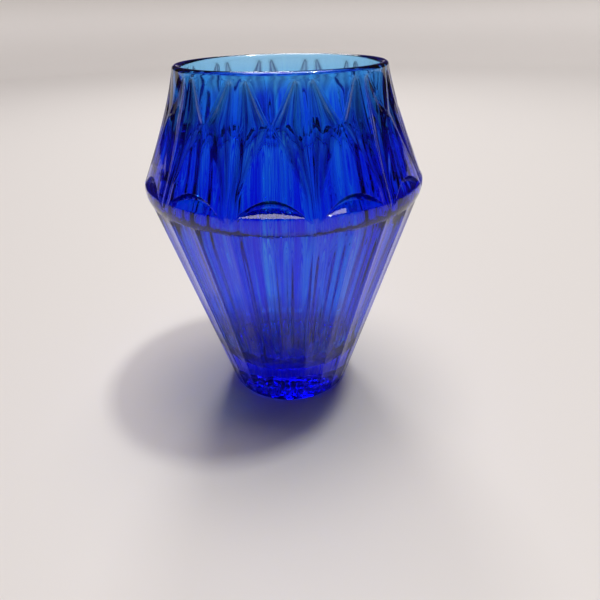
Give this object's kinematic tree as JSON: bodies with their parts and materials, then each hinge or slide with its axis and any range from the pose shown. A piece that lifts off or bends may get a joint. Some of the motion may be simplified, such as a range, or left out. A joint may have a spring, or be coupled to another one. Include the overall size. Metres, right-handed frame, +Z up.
{
  "type": "vase",
  "caption": "Cut cobalt glass vase with a hollow-curved neck, notched shoulder and fluted foot that tapers to a flat base. Holds water and flowers.",
  "frame": {"origin": "centre of the flat underside, on the surface the vase stands on", "axes": "+Z up through the middle of the mouth; -Y through the middle of one shoulder notch"},
  "size_m": [0.1264, 0.1264, 0.16],
  "materials": {
    "crystal": "polished clear cobalt-blue lead crystal"
  },
  "bodies": {
    "root": {"vase_body": "crystal"}
  },
  "joints": []
}
